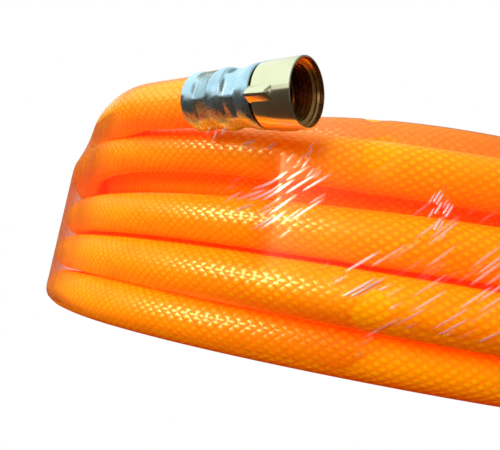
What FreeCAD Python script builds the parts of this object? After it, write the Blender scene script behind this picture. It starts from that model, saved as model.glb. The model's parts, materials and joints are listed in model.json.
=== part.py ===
import FreeCAD, Part
import math
import os
import Sketcher

# Coiled air hose with a crimped swivel fitting on each end, in millimetres, +Z up.
# The coil lies flat on the ground. One end of the hose lies outside the top row, towards -Y,
# and the other lies inside the coil. A fitting's own X axis runs from its sleeve to its nut.

SIZES = [
    ("hose_diameter", 16.0, "outside of the hose"),
    ("hose_bore", 10.0, "inside of the hose"),
    ("coil_radius", 176.0, "centreline radius of the outer layer"),
    ("row_gap", 0.5, "between one row of the outer layer and the next"),
    ("outer_quarters", 17, "quarter turns in the outer layer"),
    ("coil_end_azimuth", -152.0, "degrees, where the top row leaves the coil"),
    ("core_clearance", 0.3, "between the outer layer and the inner ones"),
    ("core_wall", 32.0, "the inner layers, across"),
    ("core_rows", 5, "rows of hose in the inner layers"),
    ("core_round", 7.0, "bevel of the inner layers' top edges"),
    ("crossing_length", 6.0, "stretch of hose that crosses between layers, as a plain block"),
    ("crossing_step", 1.0, "the crossing's outer side lies this far inside the hose's"),
    ("crossing_sink", 4.0, "how far the crossing reaches into the inner layers"),
    ("crossing_clearance", 0.3, "between the crossing and the hose that it meets or passes"),
    ("film_thickness", 0.3, "wrapping film, all its layers together"),
    ("film_clearance", 0.3, "between the film and the inner layers and top row"),
    ("film_slack", 0.9, "between the film and the outside of the coil"),
    ("film_lift", 0.3, "lower edge of the film above the ground"),
    ("film_round", 6.0, "bevel of the film's shoulders"),
    ("window_start", -156.0, "degrees, where the film opens for the outer end"),
    ("window_angle", 52.0, "degrees that this window spans"),
    ("window_margin", 3.125, "lower edge of this window below the top row"),
    ("leaving_start", 84.0, "degrees, where the film opens for the inner end"),
    ("leaving_angle", 36.0, "degrees that the inner end's window spans"),
    ("sleeve_length", 29.6, "crimped sleeve"),
    ("sleeve_wall", 0.8, "sheet of the sleeve"),
    ("crest_rise", 1.1, "the sleeve's bulges above the hose"),
    ("valley_rise", 0.4, "the sleeve's crimped bands above the hose"),
    ("mouth_step", 0.2, "the sleeve's mouth is smaller than its bulges by this"),
    ("first_crest", 5.6, "middle of the first bulge, from the sleeve's mouth"),
    ("first_valley", 11.8, "middle of the first crimped band"),
    ("second_crest_back", 11.2, "middle of the second bulge, from the sleeve's end"),
    ("second_valley_back", 5.7, "middle of the second crimped band, from the sleeve's end"),
    ("crest_width", 3.6, "width of a bulge before it is rounded"),
    ("valley_width", 2.4, "width of a crimped band before it is rounded"),
    ("crimp_round", 7.0, "rounding of the bulges and bands"),
    ("flare_rise", 1.25, "the sleeve's end towards the nut above the hose"),
    ("flare_width", 1.6, "width of that end"),
    ("jaw_rise", 0.2, "the crimping jaws' flats above the hose"),
    ("jaw_width", 4.2, "width of a flat along the sleeve"),
    ("jaw_span", 6.0, "width of a jaw across the sleeve"),
    ("jaw_count", 8, "flats round a band"),
    ("fit_clearance", 0.05, "between parts that sit in each other"),
    ("tail_root", 4.5, "radius between the barbs of the stem"),
    ("tail_start", 3.0, "inner end of the stem, from the sleeve's mouth"),
    ("barb_land", 0.5, "flat top of a barb"),
    ("barb_drop", 0.4, "steep side of a barb"),
    ("barb_count", 5, "barbs"),
    ("plain_tail", 2.0, "plain stretch of the stem between the last barb and the end of the hose"),
    ("stem_bore", 3.4, "radius of the way through the stem"),
    ("end_wall", 1.6, "between the end of the hose and the sleeve's end"),
    ("neck_radius", 5.5, "stem where the nut turns on it"),
    ("head_radius", 7.3, "stem's head inside the nut"),
    ("head_length", 2.6, "stem's head"),
    ("running_clearance", 0.08, "radial, between the nut and the stem's neck"),
    ("end_play", 0.1, "between the nut's back wall and the stem's head"),
    ("nut_gap", 0.4, "between the sleeve and the nut"),
    ("nut_length", 16.0, "swivel nut"),
    ("nut_radius", 9.6, "outside of the nut"),
    ("nut_back_wall", 2.0, "wall that bears on the stem's head"),
    ("nut_edge", 0.4, "bevel of the nut's outer edges"),
    ("thread_minor", 7.475, "radius over the crests of the nut's thread"),
    ("relief_radius", 8.1, "radius of the nut's chamber behind the thread"),
    ("mouth_radius", 8.7, "radius of the nut's plain mouth"),
    ("mouth_depth", 1.6, "plain mouth with its taper"),
    ("mouth_taper", 0.6, "taper between the mouth and the thread"),
    ("lug_count", 3, "lugs round the nut"),
    ("lug_width", 4.4, "foot of a lug"),
    ("lug_crown", 1.6, "crown of a lug"),
    ("lug_height", 1.8, "lug above the nut"),
    ("lug_sink", 0.6, "foot of a lug inside the nut's wall"),
    ("lug_length", 8.5, "lug, from the nut's back edge"),
    ("lug_bevel", 1.4, "slope at the lug's front end"),
    ("washer_thickness", 1.9, "sealing washer"),
    ("washer_hole", 4.0, "radius of the washer's hole"),
    ("outer_nut_turn", 114.0, "degrees, turn of the outer nut's lugs"),
    ("inner_end_height", 12.0, "centre of the inner end above the ground"),
    ("inner_end_depth", 11.3, "start of the inner end's centreline in the inner layers, from their bore"),
    ("inner_end_azimuth", 120.0, "degrees, the same place round the coil"),
    ("inner_end_tilt", 18.0, "degrees that it heads inwards there"),
]

# Route of the outer end after its first run: heading in degrees, run and rise in mm
OUTER_FIRST_RUN = 20
OUTER_ROUTE = [(-54.6, 36, 0.9), (-46.5, 33, -2.3), (-30.8, 27, -2.6), (-21.8, 16, -1.2)]
# Route of the inner end, which is level and bends towards the middle: turn in degrees and run in mm
INNER_FIRST_RUN = 30
INNER_ROUTE = [(18, 34), (18, 35), (17, 33), (16, 26)]

doc = FreeCAD.newDocument("coiled_air_hose")
sheet = doc.addObject("Spreadsheet::Sheet", "sizes")
for row, (name, value, note) in enumerate(SIZES, start=1):
    sheet.set("A%d" % row, name)
    sheet.set("B%d" % row, str(value))
    sheet.setAlias("B%d" % row, name)
    sheet.set("C%d" % row, note)
doc.recompute()


class Size:
    """A size of the sheet or one worked out from such sizes: its number and its formula."""

    def __init__(self, value, text):
        self.value = value
        self.text = text

    def combined(self, sign, other, value):
        return Size(value, "(%s %s %s)" % (self.text, sign, as_size(other).text))

    def __add__(self, other):
        return self.combined("+", other, self.value + as_size(other).value)

    def __sub__(self, other):
        return self.combined("-", other, self.value - as_size(other).value)

    def __mul__(self, other):
        return self.combined("*", other, self.value * as_size(other).value)

    def __truediv__(self, other):
        return self.combined("/", other, self.value / as_size(other).value)


class Sizes:
    """Holds every size of the sheet under its name."""


def as_size(other):
    return other if isinstance(other, Size) else Size(float(other), "%.4f" % other)


dim = Sizes()
for name, _, _ in SIZES:
    setattr(dim, name, Size(float(sheet.get(name)), "sizes." + name))
zero = Size(0.0, "0")

hose_radius = dim.hose_diameter / 2
core_outer = dim.coil_radius - hose_radius - dim.core_clearance
core_inner = core_outer - dim.core_wall
core_height = dim.hose_diameter * dim.core_rows
row_pitch = dim.hose_diameter + dim.row_gap
top_row = hose_radius + row_pitch * dim.outer_quarters / 4
inner_end_radius = core_inner + dim.inner_end_depth
sleeve_crest = hose_radius + dim.crest_rise
sleeve_valley = hose_radius + dim.valley_rise
flare_radius = hose_radius + dim.flare_rise
jaw_radius = hose_radius + dim.jaw_rise
second_crest = dim.sleeve_length - dim.second_crest_back
second_valley = dim.sleeve_length - dim.second_valley_back
hose_seat = dim.sleeve_length - dim.end_wall
barb_length = (hose_seat - dim.tail_start - dim.plain_tail) / dim.barb_count
nut_back = dim.sleeve_length + dim.nut_gap
nut_front = nut_back + dim.nut_length
head_start = nut_back + dim.nut_back_wall + dim.end_play
washer_seat = head_start + dim.head_length + dim.fit_clearance
thread_start = washer_seat + dim.washer_thickness + dim.end_play


# Helpers for bodies and sketches

def make_body(label):
    body = doc.addObject("PartDesign::Body", label)
    body.Label = label
    return body


def origin_part(body, role):
    return [part for part in body.Origin.OriginFeatures if part.Role == role][0]


def pin_coordinate(sketch, kind, geometry, size):
    """Holds one coordinate of a line's start to its size, or to the axis where that is zero."""
    if size is zero:
        axis = -2 if kind == "DistanceX" else -1
        sketch.addConstraint(Sketcher.Constraint("PointOnObject", geometry, 1, axis))
        return
    index = sketch.addConstraint(Sketcher.Constraint(kind, -1, 1, geometry, 1, size.value))
    sketch.setExpression("Constraints[%d]" % index, size.text)


def add_outline(sketch, points):
    """Adds a closed outline of straight lines through points given as sizes."""
    first = sketch.GeometryCount
    count = len(points)
    for index in range(count):
        here = points[index]
        there = points[(index + 1) % count]
        sketch.addGeometry(Part.LineSegment(FreeCAD.Vector(here[0].value, here[1].value, 0),
                                            FreeCAD.Vector(there[0].value, there[1].value, 0)))
    for index in range(count):
        following = first + (index + 1) % count
        sketch.addConstraint(Sketcher.Constraint("Coincident", first + index, 2, following, 1))
    for index, (across, up) in enumerate(points):
        pin_coordinate(sketch, "DistanceX", first + index, across)
        pin_coordinate(sketch, "DistanceY", first + index, up)


def sketch_on(body, name, role, *outlines):
    """A sketch of closed outlines on one of the body's own planes."""
    sketch = body.newObject("Sketcher::SketchObject", name)
    sketch.AttachmentSupport = [(origin_part(body, role), "")]
    sketch.MapMode = "FlatFace"
    for outline in outlines:
        add_outline(sketch, outline)
    return sketch


def revolve(body, sketch, axis_role, name):
    turned = body.newObject("PartDesign::Revolution", name)
    turned.Profile = sketch
    turned.ReferenceAxis = (origin_part(body, axis_role), [""])
    turned.Angle = 360
    doc.recompute()
    return turned


def repeat_round(body, originals, count, name):
    """Repeats features round the body's X axis."""
    pattern = body.newObject("PartDesign::PolarPattern", name)
    pattern.Originals = originals
    pattern.Axis = (origin_part(body, "X_Axis"), [""])
    pattern.Angle = 360
    pattern.setExpression("Occurrences", count.text)
    body.Tip = pattern
    doc.recompute()
    return pattern


def pocket_through(body, sketch, depth, name):
    pocket = body.newObject("PartDesign::Pocket", name)
    pocket.Profile = sketch
    pocket.Midplane = True
    pocket.setExpression("Length", depth.text)
    doc.recompute()
    return pocket


def circles_of(shape, radii):
    """Names of the edges of a turned piece that lie on its outside at one of the radii."""
    names = []
    for index, edge in enumerate(shape.Edges, start=1):
        if isinstance(edge.Curve, Part.Circle):
            if any(abs(edge.Curve.Radius - radius.value) < 0.01 for radius in radii):
                names.append("Edge%d" % index)
    return names


# Fittings

def crimp_line(depth):
    """Stations and radii along the crimped sleeve, so deep under its outside."""
    line = [(zero, sleeve_crest - dim.mouth_step)]
    bands = [(dim.first_crest, dim.crest_width, sleeve_crest),
             (dim.first_valley, dim.valley_width, sleeve_valley),
             (second_crest, dim.crest_width, sleeve_crest),
             (second_valley, dim.valley_width, sleeve_valley)]
    for middle, width, radius in bands:
        line.append((middle - width / 2, radius))
        line.append((middle + width / 2, radius))
    return [(station, radius - depth) for station, radius in line]


def make_sleeve(label):
    """Sheet sleeve, crimped in two bands, closed towards the nut by a wall round the stem."""
    body = make_body(label)
    stem_hole = dim.neck_radius + dim.fit_clearance
    cavity_end = hose_seat + dim.fit_clearance
    outside = crimp_line(0)
    inside = crimp_line(dim.sleeve_wall)
    outline = outside + [(dim.sleeve_length - dim.flare_width, flare_radius),
                         (dim.sleeve_length, flare_radius), (dim.sleeve_length, stem_hole),
                         (cavity_end, stem_hole), (cavity_end, inside[-1][1])]
    outline += reversed(inside)
    turned = revolve(body, sketch_on(body, label + "_profile", "XY_Plane", outline), "X_Axis",
                     label + "_turned")
    rounding = body.newObject("PartDesign::Fillet", label + "_rounding")
    rounding.Base = (turned, circles_of(turned.Shape, [sleeve_crest, sleeve_valley]))
    rounding.setExpression("Radius", dim.crimp_round.text)
    doc.recompute()
    flats = sketch_on(body, label + "_flats", "XY_Plane", jaw_outline(dim.first_valley),
                      jaw_outline(second_valley))
    jaw = pocket_through(body, flats, dim.jaw_span, label + "_jaw")
    pattern = repeat_round(body, [jaw], dim.jaw_count, label + "_jaws")
    if not pattern.Shape.Volume < jaw.Shape.Volume < rounding.Shape.Volume:
        raise RuntimeError(label + ": the crimping jaws left no flats")
    return body


def jaw_outline(middle):
    start = middle - dim.jaw_width / 2
    end = middle + dim.jaw_width / 2
    above = sleeve_crest + dim.mouth_step
    return [(start, jaw_radius), (end, jaw_radius), (end, above), (start, above)]


def make_stem(label):
    """Barbed tail in the hose, neck for the nut, and the head that holds the nut on."""
    body = make_body(label)
    barb_top = dim.hose_bore / 2 - dim.fit_clearance
    outline = []
    for barb in range(int(dim.barb_count.value)):
        start = dim.tail_start + barb_length * barb
        end = start + barb_length
        outline.append((start, dim.tail_root))
        outline.append((end - dim.barb_drop - dim.barb_land, barb_top))
        outline.append((end - dim.barb_drop, barb_top))
    head_end = head_start + dim.head_length
    outline += [(end, dim.tail_root), (hose_seat, dim.tail_root), (hose_seat, dim.neck_radius),
                (head_start, dim.neck_radius), (head_start, dim.head_radius),
                (head_end, dim.head_radius), (head_end, dim.stem_bore), (dim.tail_start, dim.stem_bore)]
    revolve(body, sketch_on(body, label + "_profile", "XY_Plane", outline), "X_Axis", label + "_turned")
    return body


def make_nut(label):
    """Thin-walled round swivel nut, bored for its thread, with lugs from its back edge."""
    body = make_body(label)
    hole = dim.neck_radius + dim.running_clearance
    wall_end = nut_back + dim.nut_back_wall
    thread_end = nut_front - dim.mouth_depth
    edge = dim.nut_edge
    outline = [(nut_back, hole), (nut_back, dim.nut_radius - edge), (nut_back + edge, dim.nut_radius),
               (nut_front - edge, dim.nut_radius), (nut_front, dim.nut_radius - edge),
               (nut_front, dim.mouth_radius), (thread_end + dim.mouth_taper, dim.mouth_radius),
               (thread_end, dim.thread_minor), (thread_start, dim.thread_minor),
               (thread_start, dim.relief_radius), (wall_end, dim.relief_radius), (wall_end, hole)]
    turned = revolve(body, sketch_on(body, label + "_profile", "XY_Plane", outline), "X_Axis",
                     label + "_turned")
    foot = dim.nut_radius - dim.lug_sink
    crown = dim.nut_radius + dim.lug_height
    half_foot = dim.lug_width / 2
    half_crown = dim.lug_crown / 2
    section = sketch_on(body, label + "_lug_section", "YZ_Plane", [
        (half_foot * -1, foot), (half_foot, foot), (half_crown, crown), (half_crown * -1, crown)])
    section.setExpression("AttachmentOffset.Base.z", nut_back.text)
    lug = body.newObject("PartDesign::Pad", label + "_lug")
    lug.Profile = section
    lug.setExpression("Length", dim.lug_length.text)
    doc.recompute()
    front = nut_back + dim.lug_length
    past = front + dim.lug_bevel
    above = crown + dim.lug_bevel
    wedge = sketch_on(body, label + "_lug_wedge", "XZ_Plane", [
        (front - dim.lug_bevel, crown), (front, dim.nut_radius), (past, dim.nut_radius), (past, above),
        (front - dim.lug_bevel, above)])
    slope = pocket_through(body, wedge, dim.lug_width * 2, label + "_lug_slope")
    pattern = repeat_round(body, [lug, slope], dim.lug_count, label + "_lugs")
    if not turned.Shape.Volume < slope.Shape.Volume < min(lug.Shape.Volume, pattern.Shape.Volume):
        raise RuntimeError(label + ": a lug or its slope is missing")
    return body


def make_washer(label):
    """Sealing washer on the stem's head."""
    body = make_body(label)
    front = washer_seat + dim.washer_thickness
    outline = [(washer_seat, dim.washer_hole), (front, dim.washer_hole), (front, dim.head_radius),
               (washer_seat, dim.head_radius)]
    revolve(body, sketch_on(body, label + "_profile", "XY_Plane", outline), "X_Axis", label + "_turned")
    return body


def fitting_place(start, direction, turn=0.0):
    """Placement of a fitting whose sleeve starts at a point and points along a direction."""
    along = FreeCAD.Vector(direction).normalize()
    level = FreeCAD.Vector(0, 0, 1).cross(along).normalize()
    facing = FreeCAD.Rotation(along, level, along.cross(level), "XYZ")
    return FreeCAD.Placement(start, facing * FreeCAD.Rotation(FreeCAD.Vector(1, 0, 0), turn))


def make_fitting(end_name, start, direction, nut_turn):
    """The four pieces of one fitting, set on the end of the hose."""
    pieces = [make_sleeve(end_name + "_sleeve"), make_stem(end_name + "_stem"),
              make_washer(end_name + "_washer"), make_nut(end_name + "_nut")]
    for piece in pieces:
        piece.Placement = fitting_place(start, direction)
    pieces[-1].Placement = fitting_place(start, direction, nut_turn)
    return pieces


# The hose: tubes along arcs and straight runs

QUARTER_TURN = 90


def heading(degrees):
    return FreeCAD.Vector(math.cos(math.radians(degrees)), math.sin(math.radians(degrees)), 0)


def arc_from(start, direction, end):
    """The arc that leaves start along a direction and reaches end, its direction there and radius."""
    chord = end - start
    half = direction.getAngle(chord)
    unit = FreeCAD.Vector(chord).normalize()
    sideways = (direction - unit * direction.dot(unit)).normalize()
    middle = (start + end) * 0.5 + sideways * (chord.Length / 2 * math.tan(half / 2))
    leaving = unit * (2 * direction.dot(unit)) - direction
    return Part.Arc(start, middle, end).toShape(), leaving, chord.Length / 2 / math.sin(half)


def biarc(start, leave, end, arrive):
    """Two tangent arcs from one point and direction to another, and the smaller radius."""
    gap = end - start
    bend = 2 * (1 - leave.dot(arrive))
    along = gap.dot(leave + arrive)
    reach = (math.sqrt(along ** 2 + bend * gap.dot(gap)) - along) / bend
    joint = (start + leave * reach + end - arrive * reach) * 0.5
    first, direction, first_radius = arc_from(start, leave, joint)
    second, _, second_radius = arc_from(joint, direction, end)
    return [first, second], min(first_radius, second_radius)


def sweep(edges, direction, radius):
    """A round bar along tangent edges that start along a direction."""
    start = edges[0].valueAt(edges[0].FirstParameter)
    circle = Part.Wire([Part.Circle(start, direction, radius).toShape()])
    return Part.Wire(edges).makePipeShell([circle], True, False)


def add_feature(label, shape):
    feature = doc.addObject("Part::Feature", label)
    feature.Label = label
    feature.Shape = shape
    return feature


def compare_volume(label, tube, edges, section):
    length = sum(edge.Length for edge in edges)
    print("%s: length %.1f, volume %.0f, section times length %.0f"
          % (label, length, tube.Volume, section * length))


def helix_place(turned):
    """Place and direction on the outer layer, so many degrees from its lower end."""
    start_azimuth = dim.coil_end_azimuth.value - QUARTER_TURN * dim.outer_quarters.value
    outward = heading(start_azimuth + turned)
    rise = row_pitch.value / 360
    place = outward * dim.coil_radius.value + FreeCAD.Vector(0, 0, hose_radius.value + rise * turned)
    way = heading(start_azimuth + turned + 90)
    way.z = math.degrees(rise) / dim.coil_radius.value
    return place, way.normalize()


def least_self_gap(edges):
    """Least distance between turns, measured on points of the centreline, less the diameter."""
    spacing = 6.0
    points = []
    for edge in edges:
        points += edge.discretize(max(2, round(edge.Length / spacing)))[:-1]
    half_turn = int(math.pi * dim.coil_radius.value / spacing)
    least = math.inf
    for index, point in enumerate(points):
        for other in points[index + half_turn:]:
            least = min(least, point.distanceToPoint(other))
    return least - dim.hose_diameter.value


def make_outer_layer():
    """The outer layer of turns as one unbroken tube, with straight ends of one diameter."""
    place, way = helix_place(0)
    straight = dim.hose_diameter.value
    edges = [Part.LineSegment(place - way * straight, place).toShape()]
    tightest = math.inf
    for quarter in range(int(dim.outer_quarters.value)):
        start, leave = helix_place(QUARTER_TURN * quarter)
        end, arrive = helix_place(QUARTER_TURN * quarter + QUARTER_TURN)
        arcs, radius = biarc(start, leave, end, arrive)
        edges += arcs
        tightest = min(tightest, radius)
    edges.append(Part.LineSegment(end, end + arrive * straight).toShape())
    tube = sweep(edges, way, hose_radius.value)
    compare_volume("outer_layer", tube, edges, math.pi * hose_radius.value ** 2)
    print("outer_layer: least radius %.1f, least gap to itself %.2f" % (tightest, least_self_gap(edges)))
    add_feature("outer_layer", tube)
    return (place - way * straight, way), (end + arrive * straight, arrive)


def route_edges(points, label):
    """Straight runs joined by tangent arcs as large as the runs allow."""
    edges = []
    here = points[0]
    radii = []
    for before, corner, after in zip(points, points[1:], points[2:]):
        come = (corner - before).normalize()
        leave = (after - corner).normalize()
        cut = 0.45 * min((corner - before).Length, (after - corner).Length)
        radii.append(cut / math.tan(come.getAngle(leave) / 2))
        entry = corner - come * cut
        edges.append(Part.LineSegment(here, entry).toShape())
        here = corner + leave * cut
        edges.append(arc_from(entry, come, here)[0])
    edges.append(Part.LineSegment(here, points[-1]).toShape())
    print("%s: arc radii %s" % (label, " ".join("%.0f" % radius for radius in radii)))
    return edges


def squeezed_stretch(start, direction):
    """The hose inside its sleeve: the outside follows the crimp, the bore stays round."""
    outside = []
    for station, radius in crimp_line(dim.sleeve_wall + dim.fit_clearance)[1:]:
        outside.append((station.value, min(radius.value, hose_radius.value)))
    bore = dim.hose_bore.value / 2
    seat = hose_seat.value
    corners = [(0, hose_radius.value)] + outside + [(seat, outside[-1][1]), (seat, bore), (0, bore)]
    line = [FreeCAD.Vector(station, radius, 0) for station, radius in corners]
    face = Part.Face(Part.makePolygon(line + line[:1]))
    solid = face.revolve(FreeCAD.Vector(0, 0, 0), FreeCAD.Vector(1, 0, 0), 360)
    solid.Placement = fitting_place(start, direction)
    return solid


def make_hose_end(label, points, hidden=None):
    """A free end of the hose, open through its length, without what lies hidden in the coil."""
    edges = route_edges(points, label)
    way = (points[1] - points[0]).normalize()
    bore = dim.hose_bore.value / 2
    tube = sweep(edges, way, hose_radius.value).cut(sweep(edges, way, bore))
    compare_volume(label, tube, edges, math.pi * (hose_radius.value ** 2 - bore ** 2))
    if hidden:
        tube = tube.cut(hidden)
    squeezed = squeezed_stretch(points[-1], points[-1] - points[-2])
    return add_feature(label, tube.fuse(squeezed).removeSplitter())


def outer_points(start, way):
    points = [start, start + way * OUTER_FIRST_RUN]
    for degrees, run, rise in OUTER_ROUTE:
        points.append(points[-1] + heading(degrees) * run + FreeCAD.Vector(0, 0, rise))
    return points


def inner_points():
    azimuth = dim.inner_end_azimuth.value
    start = heading(azimuth) * inner_end_radius.value
    start.z = dim.inner_end_height.value
    degrees = azimuth - 90 - dim.inner_end_tilt.value
    points = [start, start + heading(degrees) * INNER_FIRST_RUN]
    for turn, run in INNER_ROUTE:
        degrees -= turn
        points.append(points[-1] + heading(degrees) * run)
    return points


def inside_the_layers():
    """The space of the inner layers, with a clearance, which hides the start of the inner end."""
    height = core_height.value
    space = Part.makeCylinder(core_outer.value, height)
    return space.cut(Part.makeCylinder((core_inner - dim.core_clearance).value, height))


# The inner layers and the film

FILM_STEPS = 11


def make_crossing(face_place, way):
    """A plain block that the square lower end of the outer layer meets, and that joins the inner layers."""
    inward = hose_radius + dim.core_clearance + dim.crossing_sink
    box = doc.addObject("Part::Box", "crossing")
    box.setExpression("Length", dim.crossing_length.text)
    box.setExpression("Width", (inward + hose_radius - dim.crossing_step).text)
    box.setExpression("Height", (row_pitch - dim.crossing_clearance * 2).text)
    along = FreeCAD.Vector(-way.x, -way.y, 0).normalize()
    outward = FreeCAD.Vector(0, 0, 1).cross(along)
    corner = face_place + along * dim.crossing_clearance.value - outward * inward.value
    corner.z = 0
    facing = FreeCAD.Rotation(along, outward, FreeCAD.Vector(0, 0, 1), "XYZ")
    box.Placement = FreeCAD.Placement(corner, facing)
    return box


def make_inner_layers(outer_start):
    """The inner layers as one plain ring, with the stretch that the outer layer comes out of."""
    ring = make_body("inner_ring")
    top = core_height
    bevel = dim.core_round
    outline = [(core_inner, zero), (core_outer, zero), (core_outer, top - bevel), (core_outer - bevel, top),
               (core_inner + bevel, top), (core_inner, top - bevel)]
    revolve(ring, sketch_on(ring, "inner_ring_profile", "XZ_Plane", outline), "Z_Axis", "inner_ring_turned")
    layers = doc.addObject("Part::MultiFuse", "inner_layers")
    layers.Label = "inner_layers"
    layers.Shapes = [ring, make_crossing(*outer_start)]
    doc.recompute()
    return layers


def upright_outline(azimuth, points):
    """A closed outline of radii and heights in the upright slice at an azimuth."""
    corners = [heading(azimuth) * radius + FreeCAD.Vector(0, 0, height) for radius, height in points]
    return Part.makePolygon(corners + corners[:1])


def turned_outline(points, start_azimuth, angle):
    face = Part.Face(upright_outline(start_azimuth, points))
    return face.revolve(FreeCAD.Vector(0, 0, 0), FreeCAD.Vector(0, 0, 1), angle)


def film_outline(layer_top):
    """The film in one slice: up the bore, over the inner layers and the top row, and down the outside."""
    wall = dim.film_thickness.value
    bevel = dim.film_round.value
    low = dim.film_lift.value
    inside = (core_inner - dim.film_clearance).value
    outside = (dim.coil_radius + hose_radius + dim.film_slack).value
    core_top = (core_height + dim.film_clearance).value
    core_edge = (core_outer - dim.core_round).value
    layer_edge = (dim.coil_radius - hose_radius / 2).value
    under = [(inside, low), (inside, core_top - bevel), (inside + bevel, core_top), (core_edge, core_top),
             (layer_edge, layer_top), (outside - bevel, layer_top), (outside, layer_top - bevel), (outside, low)]
    shifts = [(-wall, 0)] + [(-wall, wall)] * 2 + [(0, wall)] * 2 + [(wall, wall)] * 2 + [(wall, 0)]
    over = [(radius + out, height + up) for (radius, height), (out, up) in zip(under, shifts)]
    return under, over


def make_film():
    """Film over the top and both sides of the coil, open where the two ends come out."""
    window_end = dim.window_start.value + dim.window_angle.value
    covered = 360 - dim.window_angle.value
    sections = []
    for step in range(FILM_STEPS + 1):
        azimuth = window_end + covered * step / FILM_STEPS
        fall = (dim.coil_end_azimuth.value - azimuth) % 360
        place, _ = helix_place(QUARTER_TURN * dim.outer_quarters.value - fall)
        layer_top = place.z + hose_radius.value + 2 * dim.film_clearance.value
        under, over = film_outline(layer_top)
        sections.append(upright_outline(azimuth, under + over[::-1]))
    hood = Part.makeLoft(sections, True, False)
    window_floor = (top_row - hose_radius - dim.window_margin).value
    window_back = (dim.coil_radius - hose_radius).value
    inner_band = under[:3] + [(window_back, under[3][1]), (window_back, over[3][1])] + over[2::-1]
    outer_band = [under[-1], (under[-1][0], window_floor), (over[-1][0], window_floor), over[-1]]
    window_sides = [turned_outline(band, dim.window_start.value, dim.window_angle.value)
                    for band in (inner_band, outer_band)]
    leaving = Part.makeCylinder((core_inner + hose_radius).value,
                                (dim.inner_end_height + dim.hose_diameter).value, FreeCAD.Vector(0, 0, 0),
                                FreeCAD.Vector(0, 0, 1), dim.leaving_angle.value)
    leaving.rotate(FreeCAD.Vector(0, 0, 0), FreeCAD.Vector(0, 0, 1), dim.leaving_start.value)
    film = hood.fuse(window_sides).removeSplitter().cut(leaving)
    return add_feature("stretch_film", film)


lower_end, upper_end = make_outer_layer()
outer_route = outer_points(*upper_end)
inner_route = inner_points()
make_hose_end("outer_end", outer_route)
make_hose_end("inner_end", inner_route, inside_the_layers())
make_inner_layers(lower_end)
make_film()
make_fitting("outer", outer_route[-1], outer_route[-1] - outer_route[-2], dim.outer_nut_turn.value)
make_fitting("inner", inner_route[-1], inner_route[-1] - inner_route[-2], 0.0)
doc.recompute()

NODES = ["outer_layer", "inner_layers", "stretch_film", "outer_end", "inner_end"]
for end_name in ("outer", "inner"):
    NODES += [end_name + piece for piece in ("_sleeve", "_stem", "_washer", "_nut")]
nodes = [doc.getObjectsByLabel(label)[0] for label in NODES]

# The origin lies under the middle of the whole object
whole = FreeCAD.BoundBox()
for node in nodes:
    whole.add(node.Shape.optimalBoundingBox(True, False))
shift = FreeCAD.Vector(-whole.Center.x, -whole.Center.y, 0)
for node in nodes:
    node.Placement.Base = node.Placement.Base + shift
doc.recompute()

for item in doc.Objects:
    if "Invalid" in item.State or "Error" in item.State:
        raise RuntimeError("%s: %s" % (item.Label, item.State))
for node in nodes:
    if node.Shape.isNull() or not node.Shape.isValid():
        raise RuntimeError(node.Label + ": no valid shape")

os.makedirs("parts", exist_ok=True)
for node in nodes:
    node.Shape.exportStep("parts/%s.step" % node.Label)
    print("%s: %d solid, volume %.1f" % (node.Label, len(node.Shape.Solids), node.Shape.Volume))
print("coil axis at x %.3f, y %.3f" % (shift.x, shift.y))
print("whole object %.1f by %.1f by %.1f" % (whole.XLength, whole.YLength, whole.ZLength))
for end_name, route in (("outer", outer_route), ("inner", inner_route)):
    way = (route[-1] - route[-2]).normalize()
    mouth = route[-1] + shift + way * nut_front.value
    thread = mouth - way * (nut_front - (thread_start + nut_front - dim.mouth_depth) / 2).value
    print("%s mouth %.4f %.4f %.4f, way %.5f %.5f %.5f, thread middle %.4f %.4f %.4f, length %.3f"
          % (end_name, *mouth, *way, *thread, (nut_front - dim.mouth_depth - thread_start).value))
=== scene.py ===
# %% [markdown]
# # A coiled air hose under stretch film
#
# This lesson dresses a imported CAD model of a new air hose: an orange braided hose wound in a flat coil,
# a crimped steel sleeve and a free-turning threaded nut on each end, and clear film round it all.
# The CAD model gives every place and every moving body. Here the plain solids get their real surfaces.

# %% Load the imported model
import json
import math

import bmesh
import bpy
import numpy as np
from mathutils import Matrix, Vector


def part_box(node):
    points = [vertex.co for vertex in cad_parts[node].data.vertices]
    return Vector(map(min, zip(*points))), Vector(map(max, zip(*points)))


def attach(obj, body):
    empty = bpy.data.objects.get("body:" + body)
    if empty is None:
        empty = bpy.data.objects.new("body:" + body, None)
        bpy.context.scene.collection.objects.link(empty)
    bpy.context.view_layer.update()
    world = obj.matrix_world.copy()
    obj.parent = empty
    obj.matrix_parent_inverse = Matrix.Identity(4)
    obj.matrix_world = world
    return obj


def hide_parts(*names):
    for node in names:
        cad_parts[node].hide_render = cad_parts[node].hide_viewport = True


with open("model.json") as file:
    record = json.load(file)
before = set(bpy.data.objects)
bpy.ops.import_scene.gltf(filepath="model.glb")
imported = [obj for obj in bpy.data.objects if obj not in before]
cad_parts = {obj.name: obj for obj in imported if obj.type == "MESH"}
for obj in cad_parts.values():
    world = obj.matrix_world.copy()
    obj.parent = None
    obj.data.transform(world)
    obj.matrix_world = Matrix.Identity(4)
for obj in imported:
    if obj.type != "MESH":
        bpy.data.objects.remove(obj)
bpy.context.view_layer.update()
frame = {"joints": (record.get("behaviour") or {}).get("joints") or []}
film_low, film_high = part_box("stretch_film")
coil_axis = Vector(((film_low[0] + film_high[0]) / 2, (film_low[1] + film_high[1]) / 2, 0))
print("coil axis at", [round(value, 4) for value in coil_axis])

# %% [markdown]
# ## Sizes
# One hose diameter is the natural measure of a coil, so rows and layers are given in it.

# %% Name the sizes, in metres
MM = 0.001
HOSE = 16 * MM
HOSE_RADIUS = HOSE / 2
GRAIN_DEPTH = 0.05 * MM


def heading(degrees):
    return Vector((math.cos(math.radians(degrees)), math.sin(math.radians(degrees)), 0))


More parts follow.
